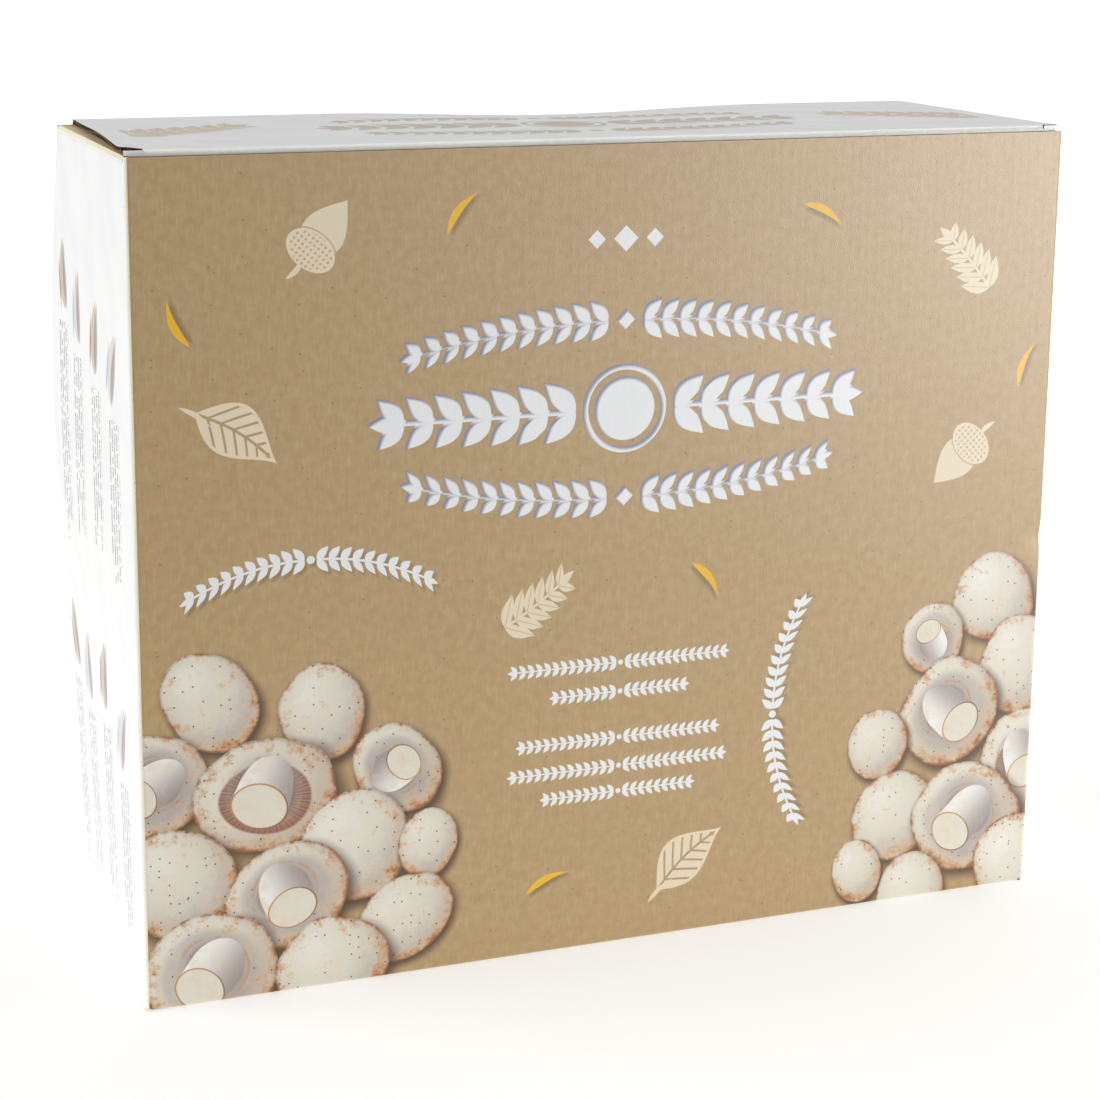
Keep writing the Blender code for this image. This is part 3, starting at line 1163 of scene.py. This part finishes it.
FRONT_MOTIFS = (
    ("kraft_garland_upper", (-95, 200), (95, 225)),
    ("kraft_medallion", (-95, 170), (95, 200)),
    ("kraft_garland_lower", (-95, 145), (95, 170)),
    ("kraft_lozenges", (-15, 235), (15, 245)),
    ("kraft_vines", (-45, 50), (45, 105)),
    ("kraft_acorn", (-120, 225), (-80, 265), 0.9),
    ("kraft_fern", (105, 210), (145, 250), 2.2),
    ("kraft_broad_leaf", (-150, 165), (-110, 205), -0.6),
    ("kraft_acorn", (105, 140), (145, 180), -2.4),
    ("kraft_fern", (-45, 105), (-10, 140), 0.5),
    ("kraft_broad_leaf", (5, 5), (45, 45), 0.7),
    ("kraft_arc", (-150, 125), (-60, 150)),
    ("kraft_arc", (50, 30), (75, 120), math.pi / 2),
    ("kraft_seed", (-65, 240), (-45, 260), 0.9),
    ("kraft_seed", (60, 235), (80, 255), -0.5),
    ("kraft_seed", (-155, 210), (-135, 230), 2.0),
    ("kraft_seed", (20, 115), (40, 135), -0.9),
    ("kraft_seed", (-35, 15), (-15, 35), 0.4),
    ("kraft_seed", (140, 180), (160, 200), 1.2),
)


def finish_front(front, lattice, materials):
    """Folds the front's lower edge under, prints it and gives it its board."""
    activate(front)
    bpy.ops.object.mode_set(mode="EDIT")
    crushed_fold = FOLD + abs(CRUSH_MOVE.z)
    pick("FACE", lambda low, high: high.z < crushed_fold + TINY)
    bpy.ops.mesh.delete(type="FACE")
    pick("EDGE", lambda low, high: high.z < crushed_fold + TINY and high.x - low.x > FOLD)
    fold_edges(-math.pi / 2, (0, -HALF_DEPTH + FOLD, FOLD))
    join_folds("front")
    cover(front, materials["kraft_plain"])
    print_on(front, materials, "front", *FRONT_MOTIFS, *(tile[:3] for tile in heap_tiles()))
    thicken(front, materials)
    complete(front, lattice, "carton", "kraft_print", "front_wall")


def finish_walls(walls, lattice, materials):
    """Prints the white walls and what the front's folds show, and gives them their board."""
    left, right = -HALF_WIDTH, HALF_WIDTH
    cover(walls, materials["white_plain"])
    print_on(
        walls, materials, "front",
        ("kraft_plain", (left, 0), (right, WALL_HEIGHT)),
        *(tile[:3] for tile in heap_tiles()),
        ("white_plain", (left, 0), (left + WORN, WALL_HEIGHT)),
        ("white_fold", (left + WORN, 0), (left + 2 * WORN, WALL_HEIGHT)),
        ("white_fold", (right - WORN, 0), (right, WALL_HEIGHT)),
    )
    print_on(
        walls, materials, "left",
        ("white_guide_upper", (-50, 130), (50, 260)),
        ("white_guide_lower", (-50, 10), (50, 130)),
    )
    print_on(walls, materials, "right", ("white_guide_upper", (-50, 70), (50, 200)))
    print_on(
        walls, materials, "back",
        ("white_cartouche", (-95, 145), (95, 225)),
        ("white_sprig", (-110, 50), (-30, 110), 0.4),
        ("white_sprig", (30, 50), (110, 110), 2.7),
    )
    thicken(walls, materials)
    for start, end in ((left, left + FOLD), (right - FOLD, right)):
        top = "white_fold", (start, -HALF_DEPTH), (end, HALF_DEPTH)
        print_on(walls, materials, "top", top)
        for wall in ("front", "back"):
            upper_edge = "white_fold", (start, SIDE_TOP), (end, WALL_HEIGHT)
            print_on(walls, materials, wall, upper_edge)
    complete(walls, lattice, "carton", "white_print", "left_wall", "back_wall", "right_wall")


def make_bottom(lattice, materials):
    """The outer bottom panel, with rounded free corners at the back."""
    reach_x, reach_y = INSIDE_X - GAP, INSIDE_Y - GAP
    bottom = begin("bottom_board", (2 * reach_x, 2 * reach_y), rotation=(math.pi, 0, 0))
    pick("VERT", lambda low, high: low.y > 0)
    bpy.ops.mesh.bevel(offset=BOTTOM_CORNER, segments=FOLD_STEPS, affect="VERTICES")
    slice_at(0, grid(-reach_x, reach_x, 4 * CELL))
    cover(bottom, materials["white_plain"])
    thicken(bottom, materials)
    complete(bottom, lattice, "carton", "white_print", "bottom_panel")


def make_dust_flap(side, lattice, materials):
    """A flap that folds in from the top of the left (-1) or right (1) wall."""
    name = "left" if side < 0 else "right"
    crease = HALF_WIDTH - DUST_CREASE
    centre = side * (crease + DUST_END) / 2, (DUST_FRONT + DUST_BACK) / 2, WALL_HEIGHT
    flap = begin("dust_board_" + name, (crease - DUST_END, DUST_BACK - DUST_FRONT), centre)
    for way in (-1, 1):
        pick(
            "VERT",
            lambda low, high: abs(low.x) < DUST_END + TINY and (low.y - centre[1]) * way > 0,
        )
        nudge((0, -way * DUST_TAPER, 0))
    pick("VERT", lambda low, high: abs(low.x) < DUST_END + TINY)
    bpy.ops.mesh.bevel(offset=DUST_CORNER, segments=CORNER_CUTS, affect="VERTICES")
    pick("EDGE", lambda low, high: beyond(low, high, crease))
    low_crease = WALL_HEIGHT - DUST_CREASE
    fold_edges(-side * math.pi / 2, (side * crease, 0, low_crease), 1, (0, 1, 0))
    extrude_edges((0, 0, SIDE_TOP + CLEARANCE - low_crease))
    join_folds("top")
    for end, reach, first in (
        (DUST_FRONT, CLEARANCE - INSIDE_Y, crease + TINY),
        (DUST_BACK, INSIDE_Y - CLEARANCE, crease - TINY),
    ):
        pick("VERT", lambda low, high: abs(low.x) > first and abs(low.y - end) < TINY)
        nudge((0, reach - end, 0))
    slice_at(0, grid(-HALF_WIDTH, HALF_WIDTH, 2 * CELL))
    slice_at(1, grid(-HALF_DEPTH, HALF_DEPTH, 2 * CELL))
    cover(flap, materials["bare_flap"])
    print_on(
        flap, materials, name,
        ("white_plain", (-HALF_DEPTH, SIDE_TOP), (HALF_DEPTH, low_crease)),
        ("white_fold", (-HALF_DEPTH, low_crease), (HALF_DEPTH, WALL_HEIGHT)),
    )
    thicken(flap, materials, "bare_flap", "cut_edge_sides")
    complete(flap, lattice, "carton", "raw_board", "dust_flap_" + name)


def round_tuck_corner(side):
    """Cuts a round corner at the end of the tuck flap, one tangent at a time."""
    middle = Vector((side * (TUCK_REACH - TUCK_CORNER), 0, HINGE_Z - TUCK_LENGTH + TUCK_CORNER))
    for cut in range(CORNER_CUTS):
        angle = math.pi / 2 * (cut + 0.5) / CORNER_CUTS
        outward = Vector((side * math.cos(angle), 0, -math.sin(angle)))
        pick(
            "FACE",
            lambda low, high: high.z < middle.z + 3 * CELL
            and (low.x + high.x) * side > 1.5 * HALF_WIDTH,
        )
        bpy.ops.mesh.bisect(
            plane_co=middle + outward * TUCK_CORNER, plane_no=outward, clear_outer=True
        )


def make_lid(lattice, materials):
    """Lid and tuck flap as one sheet, with a slit at each end of the front fold."""
    front, back = LID_FRONT + FOLD, HALF_DEPTH - FOLD
    low_fold = LID_TOP - FOLD
    middle = 0, (front + back) / 2, LID_TOP
    lid = begin("lid_and_tuck", (2 * LID_REACH, back - front), middle)
    for side in (-1, 1):
        pick("VERT", lambda low, high: low.y > 0 and low.x * side > 0)
        nudge((side * (HALF_WIDTH - LID_REACH - LID_INSET_BACK[side]), 0, 0))
    pick("EDGE", lambda low, high: low.y > back - TINY)
    fold_edges(math.pi / 2, (0, back, low_fold))
    pick("EDGE", lambda low, high: high.y < front + TINY)
    fold_edges(-math.pi / 2, (0, front, low_fold))
    swing = TUCK_LENGTH / (HINGE_Y - LID_FRONT)
    fold_edges(-swing, (0, HINGE_Y, HINGE_Z), TUCK_STEPS)
    join_folds("top")
    cuts = [TUCK_REACH, *(SLIT_START + SLIT_STEP * step for step in range(SLIT_STEPS))]
    both = [side * cut for side in (-1, 1) for cut in cuts]
    slice_at(0, [*grid(-HALF_WIDTH, HALF_WIDTH), *both])
    slice_at(1, grid(front, back))
    pick(
        "FACE",
        lambda low, high: high.y < front + TINY and (
            (low.z > low_fold - TINY and beyond(low, high, SLIT_START))
            or (high.z < low_fold + TINY and beyond(low, high, TUCK_REACH))
        ),
    )
    bpy.ops.mesh.delete(type="FACE")
    pick(
        "EDGE",
        lambda low, high: high.y < front - FOLD / 2 and low.z > low_fold - TINY
        and high.z < low_fold + TINY and beyond(low, high, SLIT_START),
    )
    extrude_edges((0, 0, SHOULDER_TOP - low_fold))
    for side in (-1, 1):
        pick(
            "EDGE",
            lambda low, high: high.y < front - FOLD / 2 and low.z > low_fold - TINY
            and high.z - low.z > TINY and low.x * side > TUCK_REACH - TINY,
        )
        extrude_edges((side * (LID_REACH - TUCK_REACH), 0, 0))
    join_folds("top")
    for side in (-1, 1):
        for step in range(SLIT_STEPS):
            pick(
                "VERT",
                lambda low, high: low.y < front + SLIT_WIDTH[side] and low.z > LID_TOP - TINY
                and low.x * side > SLIT_START + SLIT_STEP * step + TINY,
            )
            nudge((0, SLIT_WIDTH[side] / SLIT_STEPS, 0))
        round_tuck_corner(side)
        corner = Vector((side * LID_REACH, front + SLIT_WIDTH[side], LID_TOP))
        pick("VERT", lambda low, high: (low - corner).length < CURL_CORE)
        nudge((0, 0, CURL[side]), CURL_REACH)
    left_edge = LID_INSET_BACK[-1] - HALF_WIDTH
    pick("VERT", lambda low, high: abs(low.y - LIFT_Y) < TINY and low.x < left_edge)
    nudge((0, 0, LIFT), LIFT_REACH)
    cover(lid, materials["white_plain"])
    # The lid's front fold carries a painted highlight
    fold_highlight = "white_rubbed", (-HALF_WIDTH, low_fold), (HALF_WIDTH, LID_TOP)
    print_on(lid, materials, "front", fold_highlight)
    print_on(
        lid, materials, "top",
        ("white_cartouche", (-95, -40), (95, 40)),
        ("white_sprig", (-150, -30), (-100, 35), 0.5),
        ("white_sprig", (100, -30), (150, 35), 2.6),
    )
    thicken(lid, materials)
    # What stretches at the crease as the lid opens is bare, as the inside is
    bare = lid.data.materials.find(materials["bare_board"].name)
    for face in lid.data.polygons:
        under = face.center.y > INSIDE_Y and face.normal.z < FACING_DOWN
        if under or face.center.y > HALF_DEPTH - CREASE_BEND:
            face.material_index = bare
    complete(lid, lattice, "lid", "white_print", "lid_panel", "tuck_flap")


def dress_cad_nodes(materials):
    """Gives the flaps that are shown as the CAD model has them their bare board."""
    for name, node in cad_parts.items():
        if name in ("glue_flap", "bottom_flap_left", "bottom_flap_right"):
            node.data.materials.clear()
            node.data.materials.append(materials["bare_board"])


# Stage

CAMERA_TARGET = Vector((-0.0039, 0, 0.163))
CAMERA_AZIMUTH = math.radians(-21.16)
CAMERA_ELEVATION = math.radians(12.4)
CAMERA_ROLL = math.radians(0.55)
CAMERA_DISTANCE = 0.8513
CAMERA_LENS = 80.86
CAMERA_SHIFT = -0.1
FLOOR_SIZE = 30
FLOOR_GREY = (0.5, 0.5, 0.5, 1)
FLOOR_WARMTH = (1, 0.985, 0.95, 1)
FLOOR_GLOW = 0.59
FAR_GLOW = 1.1
FLOOR_FADE = (0.25, 1.4)
FLOOR_BOUNCE = 0.74
BOUNCE_LOSS = 0.8
BOUNCE_FADE = (0.15, 0.8)
WORLD_FILL = 0.2


def make_camera():
    """A camera at the photograph's angle, with the little shift that its framing needs."""
    azimuth, elevation = CAMERA_AZIMUTH, CAMERA_ELEVATION
    back = Vector((
        math.sin(azimuth) * math.cos(elevation),
        -math.cos(azimuth) * math.cos(elevation),
        math.sin(elevation),
    ))
    right = Vector((math.cos(azimuth), math.sin(azimuth), 0))
    up = back.cross(right)
    rolled_right = right * math.cos(CAMERA_ROLL) + up * math.sin(CAMERA_ROLL)
    rolled_up = back.cross(rolled_right)
    data = bpy.data.cameras.new("camera")
    data.lens = CAMERA_LENS
    data.shift_y = CAMERA_SHIFT
    camera = bpy.data.objects.new("camera", data)
    bpy.context.scene.collection.objects.link(camera)
    turn = Matrix((rolled_right, rolled_up, back)).transposed().to_4x4()
    camera.matrix_world = Matrix.Translation(CAMERA_TARGET + back * CAMERA_DISTANCE) @ turn
    bpy.context.scene.camera = camera


def make_light(name, place, target, size, power, sheen_only=False):
    data = bpy.data.lights.new(name, "AREA")
    data.shape = "RECTANGLE"
    data.size, data.size_y = size
    data.energy = power
    light = bpy.data.objects.new(name, data)
    light.location = place
    light.rotation_euler = (Vector(target) - Vector(place)).to_track_quat("-Z", "Y").to_euler()
    light.visible_diffuse = not sheen_only
    bpy.context.scene.collection.objects.link(light)


def seen_by_camera(nodes):
    """1 for what the camera sees straight, and 0 for what lights something else."""
    return Wire(nodes.new("ShaderNodeLightPath").outputs["Is Camera Ray"])


def make_floor():
    """A wide pale floor that fades to the white of the backdrop away from the carton."""
    bpy.ops.mesh.primitive_plane_add(size=FLOOR_SIZE)
    floor = bpy.context.object
    floor.name = "floor"
    material, shader, metres = new_material("floor", 1, 0)
    shader["Base Color"].default_value = FLOOR_GREY
    shader["Emission Color"].default_value = FLOOR_WARMTH
    x, y, _ = metres.parts()
    away = distance(x, y)
    glow = away.rise(*FLOOR_FADE) * (FAR_GLOW - FLOOR_GLOW) + FLOOR_GLOW
    bounce = (1 - away.rise(*BOUNCE_FADE) * BOUNCE_LOSS) * FLOOR_BOUNCE
    seen = seen_by_camera(material.node_tree.nodes)
    plug((glow - bounce) * seen + bounce, shader["Emission Strength"])
    floor.data.materials.append(material)


def make_world():
    """White to the camera, and a dimmer fill for everything else."""
    world = bpy.data.worlds.new("studio")
    world.use_nodes = True
    nodes = world.node_tree.nodes
    background = nodes["Background"].inputs
    plug(seen_by_camera(nodes) * (1 - WORLD_FILL) + WORLD_FILL, background["Strength"])
    background["Color"].default_value = (1, 1, 1, 1)
    bpy.context.scene.world = world
    bpy.context.scene.view_settings.view_transform = "Standard"


def make_stage():
    make_camera()
    make_floor()
    make_world()
    make_light("left_softbox", (-1.6, 0.25, 0.9), (0, 0, 0.15), (1.4, 1.4), 25.5)
    make_light("right_softbox", (1.1, -0.75, 0.22), (0.1, 0, 0.1), (0.8, 0.6), 11)
    make_light("sheen_panel", (0.95, -0.95, 0.26), (0.15, 0, 0.1), (0.6, 0.5), 30, True)
    make_light("top_softbox", (0.8, 0.3, 1.7), (0, 0, 0.2), (1.6, 1.2), 14.5)


def main():
    bpy.ops.object.select_all(action="DESELECT")
    materials = make_materials()
    lattice = make_bow_lattice()
    walls = fold_walls()
    front = split_front(walls)
    finish_front(front, lattice, materials)
    finish_walls(walls, lattice, materials)
    make_bottom(lattice, materials)
    for side in (-1, 1):
        make_dust_flap(side, lattice, materials)
    make_lid(lattice, materials)
    dress_cad_nodes(materials)
    bpy.data.objects.remove(lattice)
    make_stage()


main()
